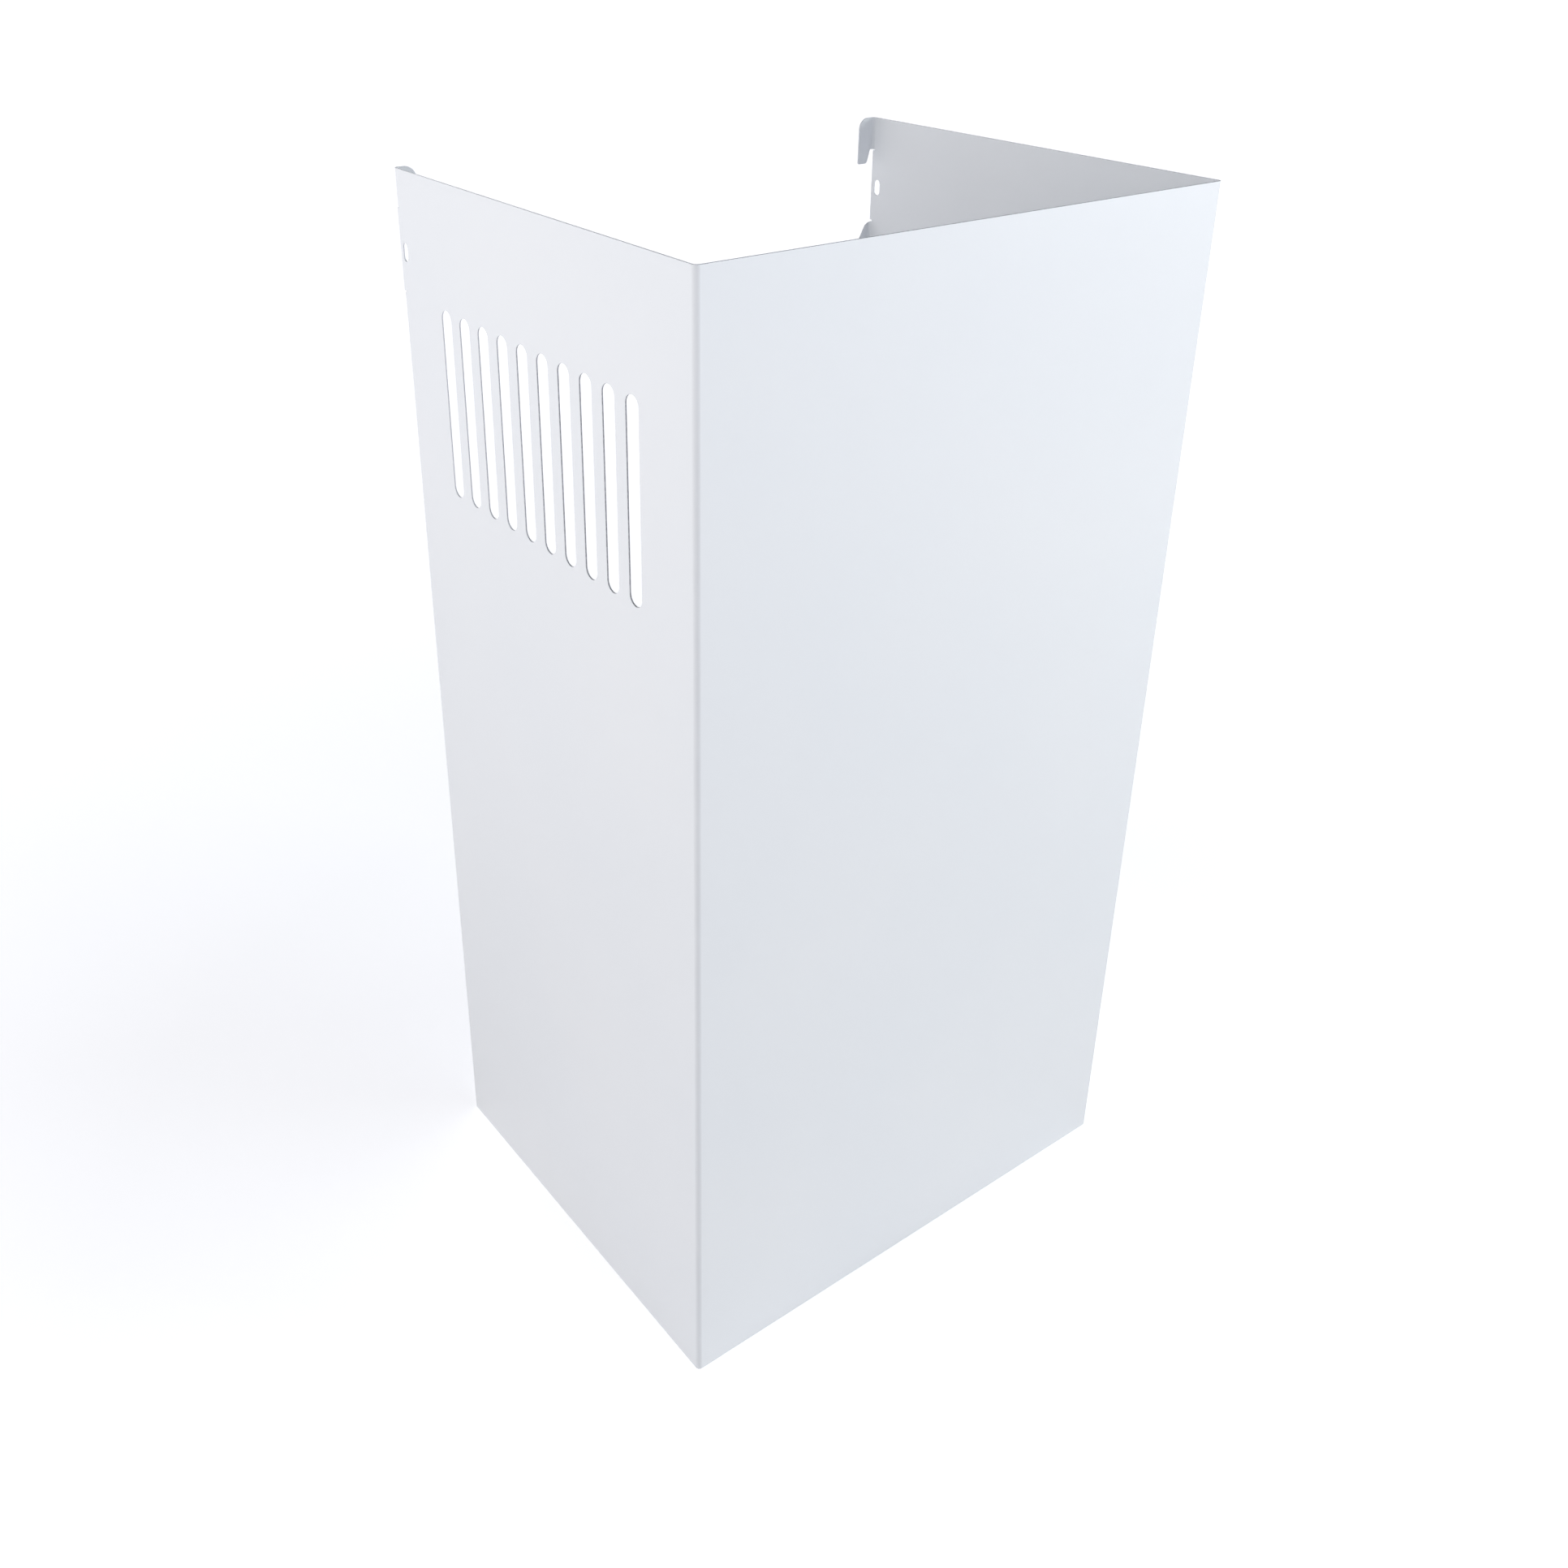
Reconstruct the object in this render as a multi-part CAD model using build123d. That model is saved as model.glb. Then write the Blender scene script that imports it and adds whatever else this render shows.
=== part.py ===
from build123d import *
from math import floor, pi
import os

# Upper chimney section of a wall-mounted cooker hood, in millimetres.
# One folded sheet of painted steel: a front panel, two side panels folded back from it,
# and a return flange folded inwards along the rear edge of each side panel.
# Near its top each flange is cut away below a hook tab. The two tabs hang on a wall
# bracket, and a screw through the oblong hole beside each gap holds the section there.
# Each side panel has a row of tall vent slots near its top.
# The origin is the middle of the bottom edges' box. +Z is up, the front panel faces -Y,
# the open back faces +Y, and the width runs along X.

# Outside of the folded section
width = 260.0
depth = 210.0
height = 500.0

# Sheet and folds
sheet = 0.7
inside_bend = 1.5
neutral_layer = 0.42

# Rear flange, measured inwards from the side panel's outer face
flange_width = 10.0
flange_corner = 5.5

# Hook tab at the top of the flange, measured down from the top edge
notch_drop = 15.3
notch_corner = 0.6
finger_drop = 22.0
finger_root = 2.4
finger_tip = 4.3
finger_outer_corner = 0.8
finger_inner_corner = 1.8

# Gap in the flange below the tab, and the sloping top of the flange that goes on below it
gap_drop = 50.3
ramp_step_width = 3.5
ramp_step_drop = 2.4
ramp_step_corner = 1.5
ramp_drop = 14.3
ramp_corner = 4.0
relief_slit = 0.4

# Vent slots in the side panels
vent_width = 8.0
vent_length = 80.0
vent_pitch = 15.0
vent_drop = 51.0
vent_row_margin = 37.5

# Oblong fixing hole in each side panel
hole_width = 4.0
hole_length = 7.5
hole_drop = 33.5
hole_inset = 5.0

# Reach of a cutter past the face that it starts from
overrun = 1.0

# Values that follow from the sizes above
outside_bend = inside_bend + sheet
bend_allowance = pi / 2 * (inside_bend + neutral_layer * sheet)
fold_start_y = depth / 2 - outside_bend
gap_edge_y = fold_start_y + bend_allowance / 2
notch_z = height - notch_drop
gap_bottom_z = height - gap_drop


def folded_blank():
    """The sheet folded into its section, with whole flanges from top to bottom."""
    half_width = (width - sheet) / 2
    half_depth = (depth - sheet) / 2
    flange_tip = width / 2 - flange_width
    middle_line = FilletPolyline(
        (-flange_tip, half_depth),
        (-half_width, half_depth),
        (-half_width, -half_depth),
        (half_width, -half_depth),
        (half_width, half_depth),
        (flange_tip, half_depth),
        radius=inside_bend + sheet / 2,
    )
    return extrude(trace(middle_line, line_width=sheet), amount=height)


def filled_outline(corners):
    """A face from (inwards, up, corner radius) triples, taken in order around it."""
    points = [(inwards, up) for inwards, up, _ in corners]
    radii = [radius for _, _, radius in corners]
    return make_face(FilletPolyline(*points, radius=radii, close=True))


def hook_tab_outline():
    """The flange's shape above the gap: a tab with a finger that hangs down."""
    finger_z = height - finger_drop
    return filled_outline([
        (-overrun, height, 0),
        (flange_width, height, flange_corner),
        (flange_width, finger_z, finger_outer_corner),
        (finger_tip, finger_z, finger_inner_corner),
        (finger_root, notch_z, notch_corner),
        (-overrun, notch_z, 0),
    ])


def lower_flange_outline():
    """The flange's shape below the gap: a sloping top and a rounded bottom corner."""
    return filled_outline([
        (-overrun, gap_bottom_z, 0),
        (0, gap_bottom_z, 0),
        (ramp_step_width, gap_bottom_z - ramp_step_drop, ramp_step_corner),
        (flange_width, gap_bottom_z - ramp_drop, ramp_corner),
        (flange_width, 0, flange_corner),
        (-overrun, 0, 0),
    ])


def both_sides(right_side):
    """The right side's shape together with its mirror image on the left side."""
    return right_side + mirror(right_side, about=Plane.YZ)


def flange_offcuts():
    """What is cut off the whole flanges, through the flange and its fold."""
    flange_plane = Plane(
        origin=(width / 2, fold_start_y, 0), x_dir=(-1, 0, 0), z_dir=(0, 1, 0)
    )
    whole_strip = Pos((flange_width, height / 2)) * Rectangle(
        2 * flange_width + 2 * overrun, height + 2 * overrun
    )
    offcut = whole_strip - hook_tab_outline() - lower_flange_outline()
    right_side = extrude(flange_plane * offcut, amount=outside_bend + overrun)
    return both_sides(right_side)


def gap_edges():
    """The flat strip that each side panel keeps along its gap, up to the fold's middle."""
    strip_height = gap_drop - notch_drop - 2 * relief_slit
    strip = Pos(width / 2 - sheet, fold_start_y, gap_bottom_z + relief_slit) * Box(
        sheet, gap_edge_y - fold_start_y, strip_height, align=(Align.MIN,) * 3
    )
    return both_sides(strip)


def through_both_sides(outline):
    """A cutter along X through both side panels, from an outline drawn in Y and Z."""
    return extrude(Plane.YZ * outline, amount=width / 2 + overrun, both=True)


def vent_slots():
    """As many upright slots as the side panel has room for, centred on its depth."""
    rounding = 1e-6
    count = floor((depth - 2 * vent_row_margin) / vent_pitch + rounding) + 1
    middle_z = height - vent_drop - vent_length / 2
    slot = SlotOverall(vent_length, vent_width, rotation=90)
    row = Pos((0, middle_z)) * GridLocations(vent_pitch, 0, count, 1)
    return through_both_sides(Sketch() + [place * slot for place in row])


def fixing_holes():
    """The upright oblong hole near the rear edge of each side panel."""
    hole = SlotOverall(hole_length, hole_width, rotation=90)
    return through_both_sides(Pos((depth / 2 - hole_inset, height - hole_drop)) * hole)


def chimney_section():
    """The folded sheet with its flanges cut to shape and its slots and holes."""
    section = folded_blank() - flange_offcuts() + gap_edges()
    return section - vent_slots() - fixing_holes()


os.makedirs("parts", exist_ok=True)
export_step(chimney_section().solid(), "parts/chimney_section.step")
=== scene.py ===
from math import acos, ceil, cos, inf, pi, radians, sin, tan

import bmesh
import bpy
from mathutils import Matrix, Vector
from mathutils.geometry import delaunay_2d_cdt


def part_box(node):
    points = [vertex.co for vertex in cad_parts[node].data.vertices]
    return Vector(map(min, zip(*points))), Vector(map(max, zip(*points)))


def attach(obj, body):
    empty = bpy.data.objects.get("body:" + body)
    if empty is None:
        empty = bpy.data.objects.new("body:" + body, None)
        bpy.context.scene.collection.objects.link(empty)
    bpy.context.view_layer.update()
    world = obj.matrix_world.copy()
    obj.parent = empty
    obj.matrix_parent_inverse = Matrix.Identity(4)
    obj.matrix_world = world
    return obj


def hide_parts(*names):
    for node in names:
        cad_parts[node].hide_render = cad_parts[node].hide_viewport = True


# The looks of a cooker hood's chimney section: one folded, painted sheet.
# The visible sheet is cut out flat, gets rounded painted edges, and is then folded.
# It has the same sizes as the CAD solid, which it replaces.

NODE = "chimney_section"
BODY = "root"
MM = 0.001

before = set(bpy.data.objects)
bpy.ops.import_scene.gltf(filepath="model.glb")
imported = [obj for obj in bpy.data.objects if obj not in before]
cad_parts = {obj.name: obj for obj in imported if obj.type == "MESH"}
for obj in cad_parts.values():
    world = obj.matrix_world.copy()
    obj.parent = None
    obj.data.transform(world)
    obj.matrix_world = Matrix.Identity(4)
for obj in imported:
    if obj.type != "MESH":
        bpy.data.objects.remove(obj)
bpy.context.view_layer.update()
low, high = (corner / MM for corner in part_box(NODE))

# Outside of the folded section. Sizes are in millimetres, unless a comment says otherwise.
WIDTH = high.x - low.x
DEPTH = high.y - low.y
HEIGHT = high.z - low.z

# Sheet and folds
SHEET = 0.7
INSIDE_BEND = 1.5
OUTSIDE_BEND = INSIDE_BEND + SHEET
MIDDLE_BEND = INSIDE_BEND + SHEET / 2
BEND_RUN = pi / 2 * MIDDLE_BEND
NEUTRAL_LAYER = 0.42
BEND_SEGMENTS = 12

# Rear flange, measured inwards from the side panel's outer face
FLANGE_WIDTH = 10.0
FLANGE_CORNER = 5.5

# Hook tab at the top of the flange, measured down from the top edge
NOTCH_DROP = 15.3
NOTCH_CORNER = 0.6
FINGER_DROP = 22.0
FINGER_ROOT = 2.4
FINGER_TIP = 4.3
FINGER_OUTER_CORNER = 0.8
FINGER_INNER_CORNER = 1.8

# Gap in the flange, and the sloping top of the flange below it
GAP_DROP = 50.3
RAMP_STEP_WIDTH = 3.5
RAMP_STEP_DROP = 2.4
RAMP_STEP_CORNER = 1.5
RAMP_DROP = 14.3
RAMP_CORNER = 4.0
RAMP_SAMPLES = 8
RELIEF_SLIT = 0.4
SLIT_CORNER = 0.12
GAP_STRIP = pi / 4 * (INSIDE_BEND + NEUTRAL_LAYER * SHEET)
GAP_CORNER = 0.2

# Vent slots and fixing hole in each side panel
VENT_WIDTH = 8.0
VENT_LENGTH = 80.0
VENT_PITCH = 15.0
VENT_DROP = 51.0
VENT_COUNT = 10
HOLE_WIDTH = 4.0
HOLE_LENGTH = 7.5
HOLE_DROP = 33.5
HOLE_INSET = 5.0

# Rounding of the cut edges, and how grey the outer ones of sides and flanges are, from thin paint and
# painted shade
EDGE_ROUNDING = 0.16
EDGE_STEPS = 3
SIDE_EDGE_PAINT_AND_SHADE = 0.35

# Mesh of the flat sheet. Its output type asks for triangles inside the outlines only.
ARC_STEP = radians(9)
JOIN_DISTANCE = 1e-4
FOLD_LINE_MARGIN = 1.0
TRIANGLES_INSIDE = 1

# White powder coat: two tones that cloud into each other, and the grey of thin paint and painted shade
PAINT_TONES = (0.78, 0.796, 0.826, 1), (0.796, 0.806, 0.83, 1)
THIN_PAINT_AND_SHADE_TONE = (0.34, 0.35, 0.37, 1)
COAT_ROUGHNESS = 0.30, 0.38
THIN_ROUGHNESS = 0.15
PAINT_IOR = 1.5

# Painted shade on outer bends, and thin paint with painted shade on cut edges; the edges' painted shade
# fades towards the rear along Y, in metres
PAINTED_BEND_SHADE = 0.15, 0.2
GRITTY_EDGE_PAINT_AND_SHADE = 0.6, 1.0
PAINTED_EDGE_SHADE_PLACES = -0.02, 0.08
PAINTED_EDGE_SHADE_FADE = 0.95, 0.1

# Noises as (waves a metre, detail), and the ranges of a noise that are stretched to full
CLOUDS = 9.0, 2.0
SMUDGES = 45.0, 4.0
GRIT = 900.0, 3.0
PEEL = 480.0, 1.0
FLOOR_CLOUDS = 1.5, 2.0
WIDE_RANGE = 0.3, 0.7
NARROW_RANGE = 0.35, 0.65

# Orange peel, its depth in metres
GRIT_IN_PEEL = 0.3
PEEL_STRENGTH = 0.25
PEEL_DEPTH = 0.00004

# Sockets for colours on a mix node: factor and two colours in, one colour out
MIX_INPUTS = 0, 6, 7
MIX_OUTPUT = 2

# Floor, in metres. It glows, more so further out, with a mild painted shadow under the object where its
# glow is dimmed.
FLOOR_RADIUS = 30.0
FLOOR_SIDES = 96
FLOOR_GAP = 0.0002
FLOOR_TONES = (0.90, 0.90, 0.90, 1), (0.92, 0.92, 0.92, 1)
FLOOR_ROUGHNESS = 0.9
GLOW_TINT = (0.95, 0.95, 1.0, 1)
GLOW_DISTANCES = 0.35, 1.6
GLOW = 0.64, 1.08
PAINTED_SHADOW_DISTANCES = 0.0, 0.16
PAINTED_SHADOW = 0.6, 1.0

# Surround: its light low down and overhead, and the rise of the direction where it fades
SURROUND_LIGHT = 0.95, 0.0
FADE_RISE = 0.15, 0.4

# Softboxes as (name, azimuth, elevation, distance, size, power, tint), in degrees,
# metres and watts
SOFTBOXES = [
    ("left_high", -92, 50, 0.8, 0.4, 0.25, (0.9, 1.0, 0.95)),
    ("left_low", -95, 25, 1.0, 0.6, 2.25, (1.0, 0.985, 0.965)),
    ("front_high", 20, 65, 0.9, 0.4, 1.45, (0.8, 0.88, 1.0)),
    ("right_low", 55, 20, 1.6, 1.0, 9.3, (0.93, 1.0, 0.98)),
    ("rear", 170, 20, 1.6, 1.0, 2.0, (0.9, 0.95, 1.0)),
]

# Camera, solved from the sheet's straight edges in the photo: place and far clip in metres
SENSOR_WIDTH = 36.0
LENS = 35.473
SHIFT = 0.02658, -0.08956
FAR_CLIP = 100.0
CAMERA_PLACE = (-0.408626, -0.494356, 0.609720)
CAMERA_AHEAD = (0.54412, 0.70900, -0.44861)
CAMERA_UP = (0.26359, 0.36316, 0.89366)

# The middle line of the right half, from the front panel's middle: (length, turn) in order.
# The strip along the gap isn't folded, so its line ends with the side panel.
FRONT_RUN = WIDTH / 2 - OUTSIDE_BEND
SIDE_RUN = DEPTH - 2 * OUTSIDE_BEND
FLANGE_RUN = FLANGE_WIDTH - OUTSIDE_BEND
RUNS = [(FRONT_RUN, 0), (BEND_RUN, pi / 2), (SIDE_RUN, 0), (BEND_RUN, pi / 2), (FLANGE_RUN, 0)]
RUNS_PAST_GAP = RUNS[:3]

# Where the side panel, the rear fold and the flange start across the flat sheet,
# and the heights of the gap's ends
SIDE_START = FRONT_RUN + BEND_RUN
REAR_FOLD = SIDE_START + SIDE_RUN
FLANGE_START = REAR_FOLD + BEND_RUN
NOTCH_Z = HEIGHT - NOTCH_DROP
GAP_Z = HEIGHT - GAP_DROP


def left_of(direction):
    """The direction to the left of another, where an outline has its sheet."""
    return Vector((-direction.y, direction.x)).normalized()


def rounded(corners):
    """A closed outline of (across, up, corner radius) triples, as (point, way into the sheet)."""
    outline = []
    for i, (across, up, radius) in enumerate(corners):
        here = Vector((across, up))
        back = (Vector(corners[i - 1][:2]) - here).normalized()
        on = (Vector(corners[(i + 1) % len(corners)][:2]) - here).normalized()
        if not radius:
            outline.append((here, left_of(on - back)))
            continue
        half_angle = back.angle(on) / 2
        centre = here + (back + on).normalized() * radius / sin(half_angle)
        start = here + back * radius / tan(half_angle) - centre
        bulge = 1 if back.cross(on) < 0 else -1
        turn = bulge * (pi - 2 * half_angle)
        steps = ceil(abs(turn) / ARC_STEP)
        for k in range(steps + 1):
            spoke = Matrix.Rotation(turn * k / steps, 2) @ start
            outline.append((centre + spoke, -bulge * spoke.normalized()))
    return outline


def oblong(across, up, width, length):
    """The outline of an upright oblong hole with round ends, as (point, way into the sheet)."""
    outline = []
    radius = width / 2
    steps = ceil(pi / ARC_STEP)
    for end, first in ((length / 2 - radius, pi), (radius - length / 2, 0)):
        for k in range(steps + 1):
            angle = first - pi * k / steps
            spoke = Vector((cos(angle), sin(angle)))
            outline.append((Vector((across, up + end)) + radius * spoke, spoke))
    return outline


def unfolded(inwards):
    """How far across the flat sheet a point lies that is inwards of the side panel's face."""
    if inwards >= OUTSIDE_BEND:
        return FLANGE_START + inwards - OUTSIDE_BEND
    return REAR_FOLD + MIDDLE_BEND * acos(min(1, (OUTSIDE_BEND - inwards) / MIDDLE_BEND))


def right_edge():
    """Corners of the flat sheet's right half, going up: lower flange, gap, hook tab."""
    finger_z = HEIGHT - FINGER_DROP
    slope = RAMP_STEP_DROP / RAMP_STEP_WIDTH
    ramp_start = SHEET / 2
    ramp = []
    for k in range(RAMP_SAMPLES):
        inwards = OUTSIDE_BEND - (OUTSIDE_BEND - ramp_start) * k / RAMP_SAMPLES
        ramp.append((unfolded(inwards), GAP_Z - slope * inwards, 0))
    folds = (FRONT_RUN, SIDE_START, REAR_FOLD, FLANGE_START)
    return [
        *[(across, 0, 0) for across in folds],
        (unfolded(FLANGE_WIDTH), 0, FLANGE_CORNER),
        (unfolded(FLANGE_WIDTH), GAP_Z - RAMP_DROP, RAMP_CORNER),
        (unfolded(RAMP_STEP_WIDTH), GAP_Z - RAMP_STEP_DROP, RAMP_STEP_CORNER),
        *ramp,
        (REAR_FOLD, GAP_Z - slope * ramp_start, SLIT_CORNER),
        (REAR_FOLD, GAP_Z + RELIEF_SLIT, SLIT_CORNER),
        (REAR_FOLD + GAP_STRIP, GAP_Z + RELIEF_SLIT, GAP_CORNER),
        (REAR_FOLD + GAP_STRIP, NOTCH_Z - RELIEF_SLIT, GAP_CORNER),
        (REAR_FOLD, NOTCH_Z - RELIEF_SLIT, SLIT_CORNER),
        (REAR_FOLD, NOTCH_Z, SLIT_CORNER),
        (unfolded(FINGER_ROOT), NOTCH_Z, NOTCH_CORNER),
        (unfolded(FINGER_TIP), finger_z, FINGER_INNER_CORNER),
        (unfolded(FLANGE_WIDTH), finger_z, FINGER_OUTER_CORNER),
        (unfolded(FLANGE_WIDTH), HEIGHT, FLANGE_CORNER),
        *[(across, HEIGHT, 0) for across in reversed(folds)],
    ]


def openings():
    """The outlines of the vent slots and the fixing holes, in both side panels."""
    middle = SIDE_START + SIDE_RUN / 2
    first = middle - VENT_PITCH * (VENT_COUNT - 1) / 2
    hole_across = SIDE_START + DEPTH - OUTSIDE_BEND - HOLE_INSET
    vent_z = HEIGHT - VENT_DROP - VENT_LENGTH / 2
    outlines = []
    for side in (1, -1):
        for k in range(VENT_COUNT):
            outlines.append(oblong(side * (first + k * VENT_PITCH), vent_z, VENT_WIDTH, VENT_LENGTH))
        outlines.append(oblong(side * hole_across, HEIGHT - HOLE_DROP, HOLE_WIDTH, HOLE_LENGTH))
    return outlines


def edge_profile():
    """The rounded cut edge as (inset, level, turn) triples, from the outer face to the inner."""
    outer = []
    for k in range(EDGE_STEPS + 1):
        turn = pi / 2 * k / EDGE_STEPS
        inset = EDGE_ROUNDING * (1 - sin(turn))
        outer.append((inset, SHEET / 2 - EDGE_ROUNDING * (1 - cos(turn)), turn))
    return outer + [(inset, -level, pi - turn) for inset, level, turn in reversed(outer)]


def fold_lines():
    """Lines along both sides of each bend, as pairs of points, so that few faces cross it."""
    bottom, top = EDGE_ROUNDING, HEIGHT - EDGE_ROUNDING
    lines = []
    for side in (1, -1):
        for across in (FRONT_RUN, SIDE_START):
            lines.append(((side * across, bottom), (side * across, top)))
        for across in (REAR_FOLD, FLANGE_START):
            lines.append(((side * across, bottom), (side * across, GAP_Z - RAMP_DROP)))
            lines.append(((side * across, NOTCH_Z + FOLD_LINE_MARGIN), (side * across, top)))
    return lines


def edge_ring(mesh, outline, in_opening):
    """The rounded cut edge round one outline, as a list of its cross-sections' points.

    Each point keeps its flat normal and how grey its edge is, from thin paint and painted shade.
    """
    normal_layer = mesh.verts.layers.float_vector["flat_normal"]
    edge_layer = mesh.verts.layers.float["cut_edge"]
    profile = edge_profile()
    rings = []
    for point, into in outline:
        at_front = abs(point.x) < SIDE_START
        # Cut edges turn grey from thin paint and painted shade, less so on the side panels' and flanges'
        # outer edges
        edge_grey_paint_and_shade = 1.0 if in_opening or at_front else SIDE_EDGE_PAINT_AND_SHADE
        ring = []
        for inset, level, turn in profile:
            vert = mesh.verts.new((*(point + into * inset), level))
            vert[normal_layer] = (*(-into * sin(turn)), cos(turn))
            vert[edge_layer] = edge_grey_paint_and_shade * sin(turn)
            ring.append(vert)
        rings.append(ring)
    for here, on in zip(rings, rings[1:] + rings[:1]):
        for k in range(len(profile) - 1):
            mesh.faces.new((here[k], here[k + 1], on[k + 1], on[k]))
    return rings


def cut_edges(mesh, outlines):
    """All cut edges: their (outer, inner) points, each one's outline number, and their lines."""
    pairs, numbers, lines = [], [], []
    for number, outline in enumerate(outlines):
        first = len(pairs)
        rings = edge_ring(mesh, outline, number > 0)
        for k, ring in enumerate(rings):
            pairs.append((ring[0], ring[-1]))
            numbers.append(number)
            lines.append((first + k, first + (k + 1) % len(rings)))
    return pairs, numbers, lines


def face_points(mesh, place):
    """New points on the outer and the inner face, at one place of the flat sheet."""
    normal_layer = mesh.verts.layers.float_vector["flat_normal"]
    pair = [mesh.verts.new((*place, level)) for level in (SHEET / 2, -SHEET / 2)]
    for vert, up in zip(pair, (1, -1)):
        vert[normal_layer] = (0, 0, up)
    return pair


def flat_sheet(outlines):
    """The flat sheet as a closed mesh, from its outer outline first and then its openings'."""
    mesh = bmesh.new()
    mesh.verts.layers.float_vector.new("flat_normal")
    mesh.verts.layers.float.new("cut_edge")
    mesh.verts.layers.float.new("bend")
    edge_pairs, edge_numbers, lines = cut_edges(mesh, outlines)
    points = [outer.co.xy for outer, _ in edge_pairs]
    for start, end in fold_lines():
        lines.append((len(points), len(points) + 1))
        points += [Vector(start), Vector(end)]
    places, _, triangles, sources, _, _ = delaunay_2d_cdt(
        points, lines, [], TRIANGLES_INSIDE, JOIN_DISTANCE
    )
    pairs, numbers = [], []
    for place, source in zip(places, sources):
        on_edge = [index for index in source if index < len(edge_pairs)]
        pairs.append(edge_pairs[on_edge[0]] if on_edge else face_points(mesh, place))
        numbers.append(edge_numbers[on_edge[0]] if on_edge else 0)
    for a, b, c in triangles:
        # A triangle with its three corners on one opening's outline lies in the opening
        in_opening = numbers[a] == numbers[b] == numbers[c] > 0
        if not in_opening:
            mesh.faces.new((pairs[a][0], pairs[b][0], pairs[c][0]))
            mesh.faces.new((pairs[a][1], pairs[c][1], pairs[b][1]))
    return mesh


def cut_at_folds(mesh):
    """Divides the flat sheet across each bend, so that it can curve there."""
    for start in (FRONT_RUN, REAR_FOLD):
        for k in range(BEND_SEGMENTS + 1):
            for side in (1, -1):
                across = side * (start + BEND_RUN * k / BEND_SEGMENTS)
                everything = mesh.verts[:] + mesh.edges[:] + mesh.faces[:]
                bmesh.ops.bisect_plane(
                    mesh, geom=everything, plane_co=(across, 0, 0), plane_no=(1, 0, 0), dist=JOIN_DISTANCE
                )


def middle_line(run, runs):
    """The point and heading of the folded middle line, run mm from the front panel's middle."""
    x, y, heading = 0.0, (SHEET - DEPTH) / 2, 0.0
    for i, (length, turn) in enumerate(runs):
        part = min(run, length if i < len(runs) - 1 else inf)
        run -= part
        if turn:
            radius = length / turn
            ahead = heading + part / radius
            x += radius * (sin(ahead) - sin(heading))
            y += radius * (cos(heading) - cos(ahead))
            heading = ahead
        else:
            x += part * cos(heading)
            y += part * sin(heading)
    return x, y, heading


def fold(mesh):
    """Moves every point of the flat sheet to its folded place, in metres, and turns its normal."""
    normal_layer = mesh.verts.layers.float_vector["flat_normal"]
    bend_layer = mesh.verts.layers.float["bend"]
    for vert in mesh.verts:
        across, up, out = vert.co
        side = 1 if across >= 0 else -1
        past_fold = abs(across) - REAR_FOLD
        beside_gap = GAP_Z + RELIEF_SLIT / 2 < up < NOTCH_Z - RELIEF_SLIT / 2
        on_strip = beside_gap and past_fold < GAP_STRIP + SLIT_CORNER
        x, y, heading = middle_line(abs(across), RUNS_PAST_GAP if on_strip else RUNS)
        vert.co = Vector((side * (x + out * sin(heading)), y - out * cos(heading), up)) * MM
        # Painted shade along the bends: full in the middle of a bend, where the heading is half way, and
        # only outside
        vert[bend_layer] = abs(sin(2 * heading)) if out > 0 else 0.0
        across, up, out = vert[normal_layer]
        turned_x = across * side * cos(heading) + out * sin(heading)
        turned_y = across * side * sin(heading) - out * cos(heading)
        vert[normal_layer] = Vector((side * turned_x, turned_y, up)).normalized()


def folded_sheet():
    """The visible piece, with exact smooth normals."""
    right_half = right_edge()
    left_half = [(-across, up, radius) for across, up, radius in reversed(right_half)]
    sheet = flat_sheet([rounded(right_half + left_half)] + openings())
    cut_at_folds(sheet)
    fold(sheet)
    data = bpy.data.meshes.new("folded_sheet")
    sheet.to_mesh(data)
    sheet.free()
    normals = [item.vector[:] for item in data.attributes["flat_normal"].data]
    data.attributes.remove(data.attributes["flat_normal"])
    data.shade_smooth()
    data.normals_split_custom_set_from_vertices(normals)
    piece = bpy.data.objects.new("folded_sheet", data)
    bpy.context.scene.collection.objects.link(piece)
    return piece


class Nodes:
    """Makes and links the nodes of one node tree."""

    def __init__(self, tree):
        self.tree = tree

    def add(self, kind, inputs=None, **settings):
        """A node of a kind, with its settings, and its inputs as values or as other sockets."""
        node = self.tree.nodes.new(kind)
        for name, value in settings.items():
            setattr(node, name, value)
        for name, value in (inputs or {}).items():
            socket = node.inputs[name]
            if isinstance(value, bpy.types.NodeSocket):
                self.tree.links.new(value, socket)
            else:
                socket.default_value = value
        return node

    def noise(self, place, scale, detail):
        """Even grey noise, scale waves a metre."""
        inputs = {"Vector": place, "Scale": scale, "Detail": detail}
        return self.add("ShaderNodeTexNoise", inputs).outputs["Fac"]

    def remap(self, value, old_range, new_range):
        """A value stretched from one range to another and kept inside it."""
        inputs = {
            "Value": value, "From Min": old_range[0], "From Max": old_range[1],
            "To Min": new_range[0], "To Max": new_range[1],
        }
        return self.add("ShaderNodeMapRange", inputs).outputs["Result"]

    def math(self, operation, a, b):
        """The result of one operation on two values."""
        return self.add("ShaderNodeMath", {0: a, 1: b}, operation=operation).outputs[0]

    def mix(self, factor, a, b):
        """Two colours mixed."""
        inputs = dict(zip(MIX_INPUTS, (factor, a, b)))
        return self.add("ShaderNodeMix", inputs, data_type="RGBA").outputs[MIX_OUTPUT]


def new_material(name):
    """An empty material, with the helper for its nodes."""
    material = bpy.data.materials.new(name)
    material.use_nodes = True
    material.node_tree.nodes.clear()
    return material, Nodes(material.node_tree)


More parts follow.
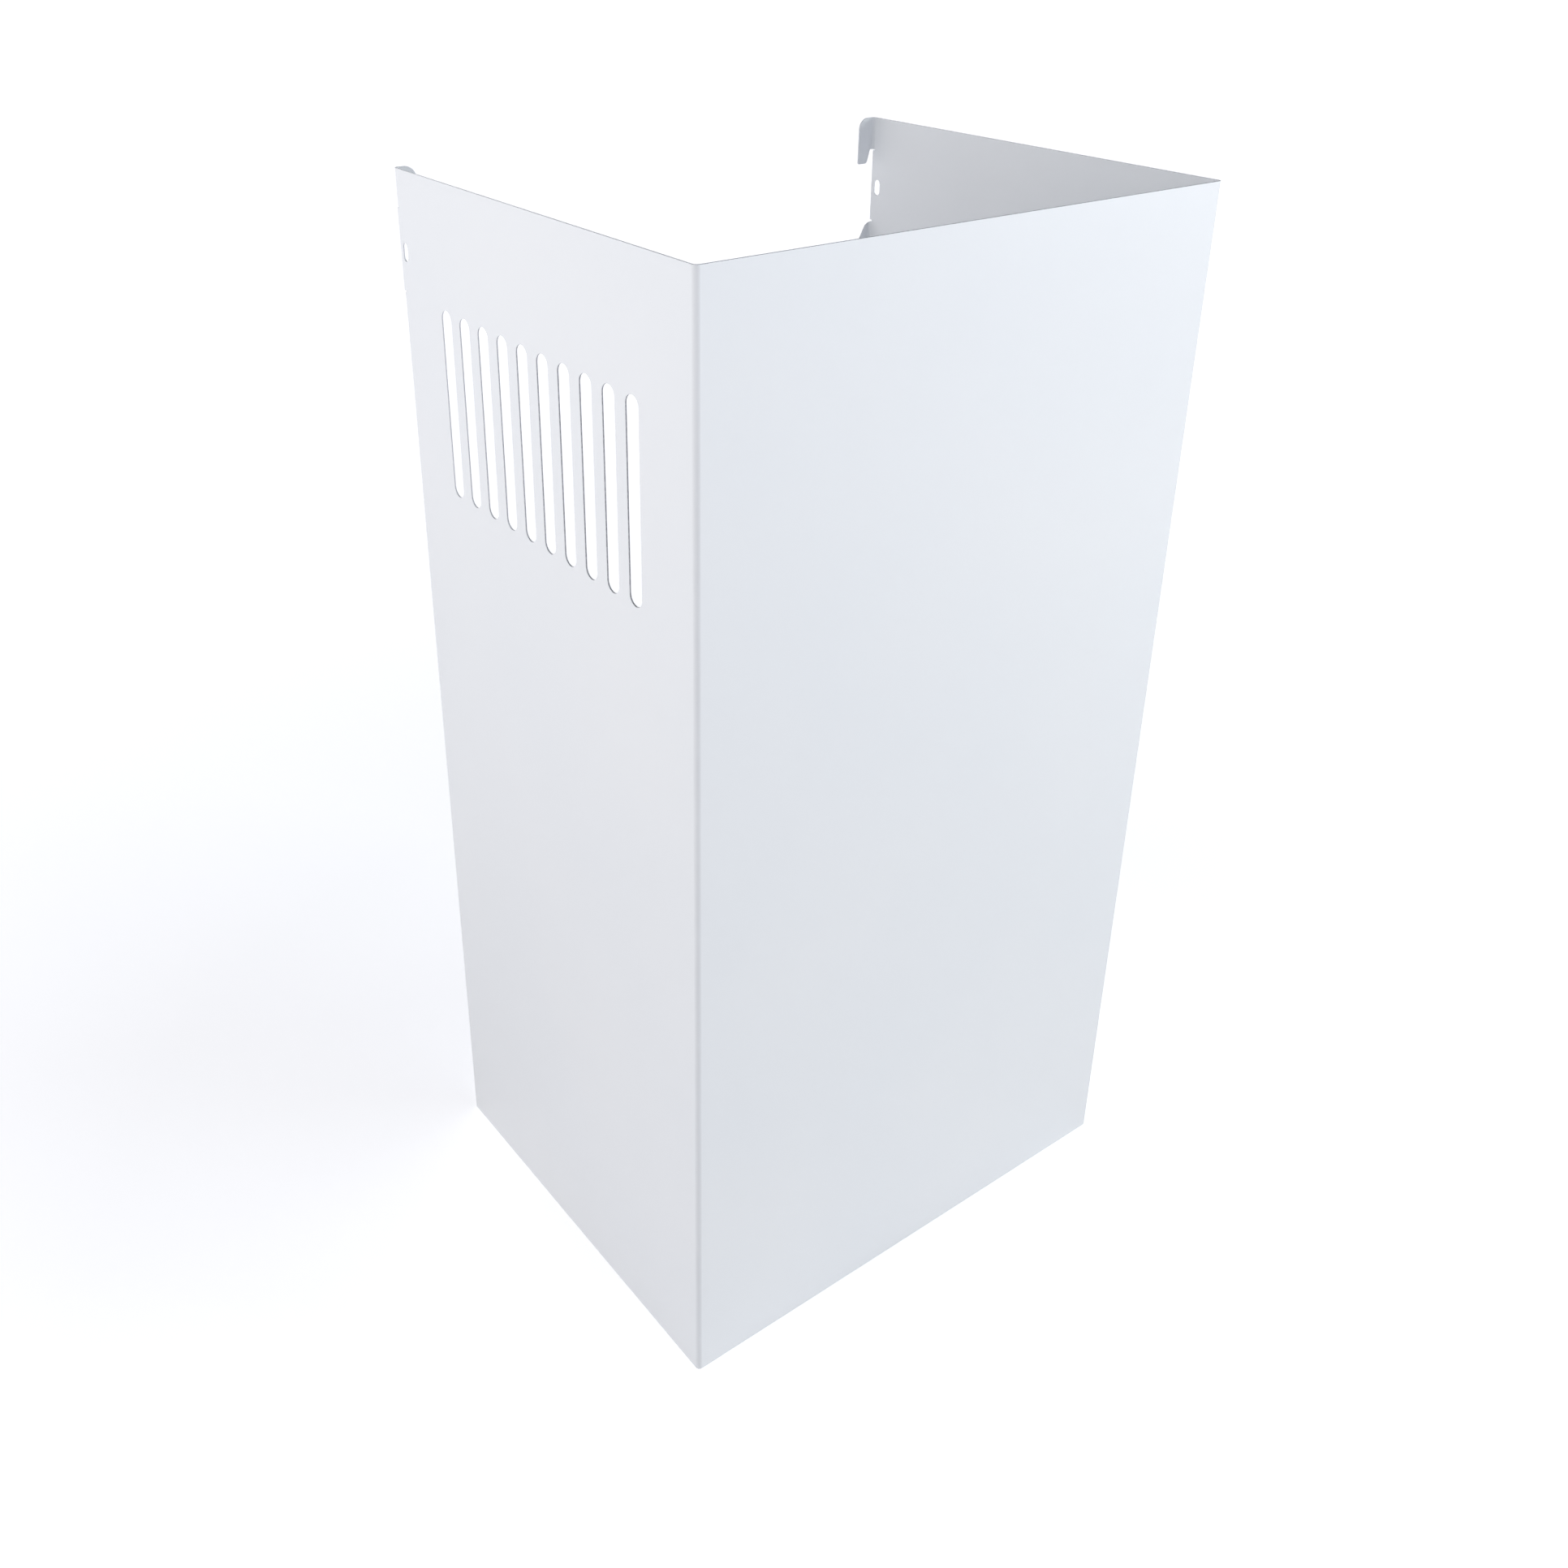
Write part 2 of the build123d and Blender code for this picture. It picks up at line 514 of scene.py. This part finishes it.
def white_paint():
    """Semi-gloss white powder coat: fine orange peel, faint smudges, grey thin paint with painted shade
    on cut edges, painted shade on outer bends.
    """
    material, nodes = new_material("white_powder_coat")
    place = nodes.add("ShaderNodeTexCoord").outputs["Object"]
    cut_edge = nodes.add("ShaderNodeAttribute", attribute_name="cut_edge").outputs["Fac"]
    bend = nodes.add("ShaderNodeAttribute", attribute_name="bend").outputs["Fac"]
    to_rear = nodes.add("ShaderNodeSeparateXYZ", {"Vector": place}).outputs["Y"]
    clouds = nodes.noise(place, *CLOUDS)
    smudges = nodes.noise(place, *SMUDGES)
    grit = nodes.noise(place, *GRIT)
    # Painted shade in the cut edges, strongest towards the front and fading towards the rear
    painted_edge_shade_fade = nodes.remap(to_rear, PAINTED_EDGE_SHADE_PLACES, PAINTED_EDGE_SHADE_FADE)
    gritty_edge = nodes.math("MULTIPLY", cut_edge, nodes.remap(grit, NARROW_RANGE, GRITTY_EDGE_PAINT_AND_SHADE))
    edge_paint_and_shade = nodes.math("MULTIPLY", gritty_edge, painted_edge_shade_fade)
    # Painted shade along the outer bends
    painted_bend_shade = nodes.math("MULTIPLY", bend, nodes.remap(smudges, NARROW_RANGE, PAINTED_BEND_SHADE))
    thin_paint_and_shade = nodes.math("MAXIMUM", edge_paint_and_shade, painted_bend_shade)
    tone = nodes.mix(nodes.remap(clouds, WIDE_RANGE, (0.0, 1.0)), *PAINT_TONES)
    # The grey of thin paint and painted shade, mixed into the coat's tone
    colour = nodes.mix(thin_paint_and_shade, tone, THIN_PAINT_AND_SHADE_TONE)
    coat_roughness = nodes.remap(smudges, WIDE_RANGE, COAT_ROUGHNESS)
    roughness = nodes.math("ADD", coat_roughness, nodes.math("MULTIPLY", thin_paint_and_shade, THIN_ROUGHNESS))
    fine_grit = nodes.math("MULTIPLY", grit, GRIT_IN_PEEL)
    peel = nodes.math("ADD", nodes.noise(place, *PEEL), fine_grit)
    bump = nodes.add("ShaderNodeBump", {
        "Height": peel, "Strength": PEEL_STRENGTH, "Distance": PEEL_DEPTH,
    })
    shader = nodes.add("ShaderNodeBsdfPrincipled", {
        "Base Color": colour, "Roughness": roughness, "Normal": bump.outputs["Normal"],
        "IOR": PAINT_IOR, "Metallic": 0.0,
    })
    nodes.add("ShaderNodeOutputMaterial", {"Surface": shader.outputs["BSDF"]})
    return material


def floor_paint():
    """A plain pale floor that glows, so that only a soft shadow shows on it, with a painted shadow under
    the object where its glow is dimmed.
    """
    material, nodes = new_material("pale_floor")
    place = nodes.add("ShaderNodeTexCoord").outputs["Object"]
    tone = nodes.mix(nodes.noise(place, *FLOOR_CLOUDS), *FLOOR_TONES)
    distance = nodes.add("ShaderNodeVectorMath", {0: place}, operation="LENGTH").outputs["Value"]
    open_glow = nodes.remap(distance, GLOW_DISTANCES, GLOW)
    # Painted shadow: the floor's glow dimmed under the object
    painted_shadow = nodes.remap(distance, PAINTED_SHADOW_DISTANCES, PAINTED_SHADOW)
    shader = nodes.add("ShaderNodeBsdfPrincipled", {
        "Base Color": tone, "Roughness": FLOOR_ROUGHNESS, "Emission Color": GLOW_TINT,
        "Emission Strength": nodes.math("MULTIPLY", open_glow, painted_shadow), "Specular IOR Level": 0.0,
    })
    nodes.add("ShaderNodeOutputMaterial", {"Surface": shader.outputs["BSDF"]})
    return material


def studio_floor():
    """A wide flat floor just under the object."""
    mesh = bmesh.new()
    bmesh.ops.create_circle(mesh, cap_ends=True, segments=FLOOR_SIDES, radius=FLOOR_RADIUS)
    data = bpy.data.meshes.new("floor")
    mesh.to_mesh(data)
    mesh.free()
    floor = bpy.data.objects.new("floor", data)
    floor.location.z = low.z * MM - FLOOR_GAP
    data.materials.append(floor_paint())
    bpy.context.scene.collection.objects.link(floor)


def softbox(name, azimuth, elevation, distance, size, power, tint):
    """A square soft light that looks at the object's middle. Azimuth 0 is in front, at -Y."""
    light = bpy.data.lights.new(name, "AREA")
    light.shape = "SQUARE"
    light.size = size
    light.energy = power
    light.color = tint
    lamp = bpy.data.objects.new(name, light)
    lamp.visible_camera = False
    turn, rise = radians(azimuth), radians(elevation)
    away = Vector((sin(turn) * cos(rise), -cos(turn) * cos(rise), sin(rise)))
    lamp.location = Vector((0, 0, HEIGHT / 2 * MM)) + away * distance
    lamp.rotation_euler = away.to_track_quat("Z", "Y").to_euler()
    bpy.context.scene.collection.objects.link(lamp)


def studio_world():
    """A plain white surround that fades to black overhead."""
    world = bpy.data.worlds.new("studio")
    world.use_nodes = True
    nodes = Nodes(world.node_tree)
    way = nodes.add("ShaderNodeTexCoord").outputs["Generated"]
    up = nodes.add("ShaderNodeSeparateXYZ", {"Vector": way}).outputs["Z"]
    strength = nodes.remap(up, FADE_RISE, SURROUND_LIGHT)
    background = world.node_tree.nodes["Background"]
    background.inputs["Color"].default_value = (1, 1, 1, 1)
    world.node_tree.links.new(strength, background.inputs["Strength"])
    bpy.context.scene.world = world


def photo_camera():
    """The camera at the photo's place, with its view."""
    data = bpy.data.cameras.new("camera")
    data.sensor_width = SENSOR_WIDTH
    data.lens = LENS
    data.shift_x, data.shift_y = SHIFT
    data.clip_end = FAR_CLIP
    camera = bpy.data.objects.new("camera", data)
    back = -Vector(CAMERA_AHEAD).normalized()
    right = Vector(CAMERA_UP).cross(back).normalized()
    turn = Matrix((right, back.cross(right), back)).transposed().to_4x4()
    camera.matrix_world = Matrix.Translation(CAMERA_PLACE) @ turn
    bpy.context.scene.collection.objects.link(camera)
    bpy.context.scene.camera = camera


sheet = folded_sheet()
sheet.data.materials.append(white_paint())
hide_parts(NODE)
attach(sheet, BODY)

studio_floor()
studio_world()
for settings in SOFTBOXES:
    softbox(*settings)
photo_camera()
bpy.context.scene.view_settings.view_transform = "Standard"
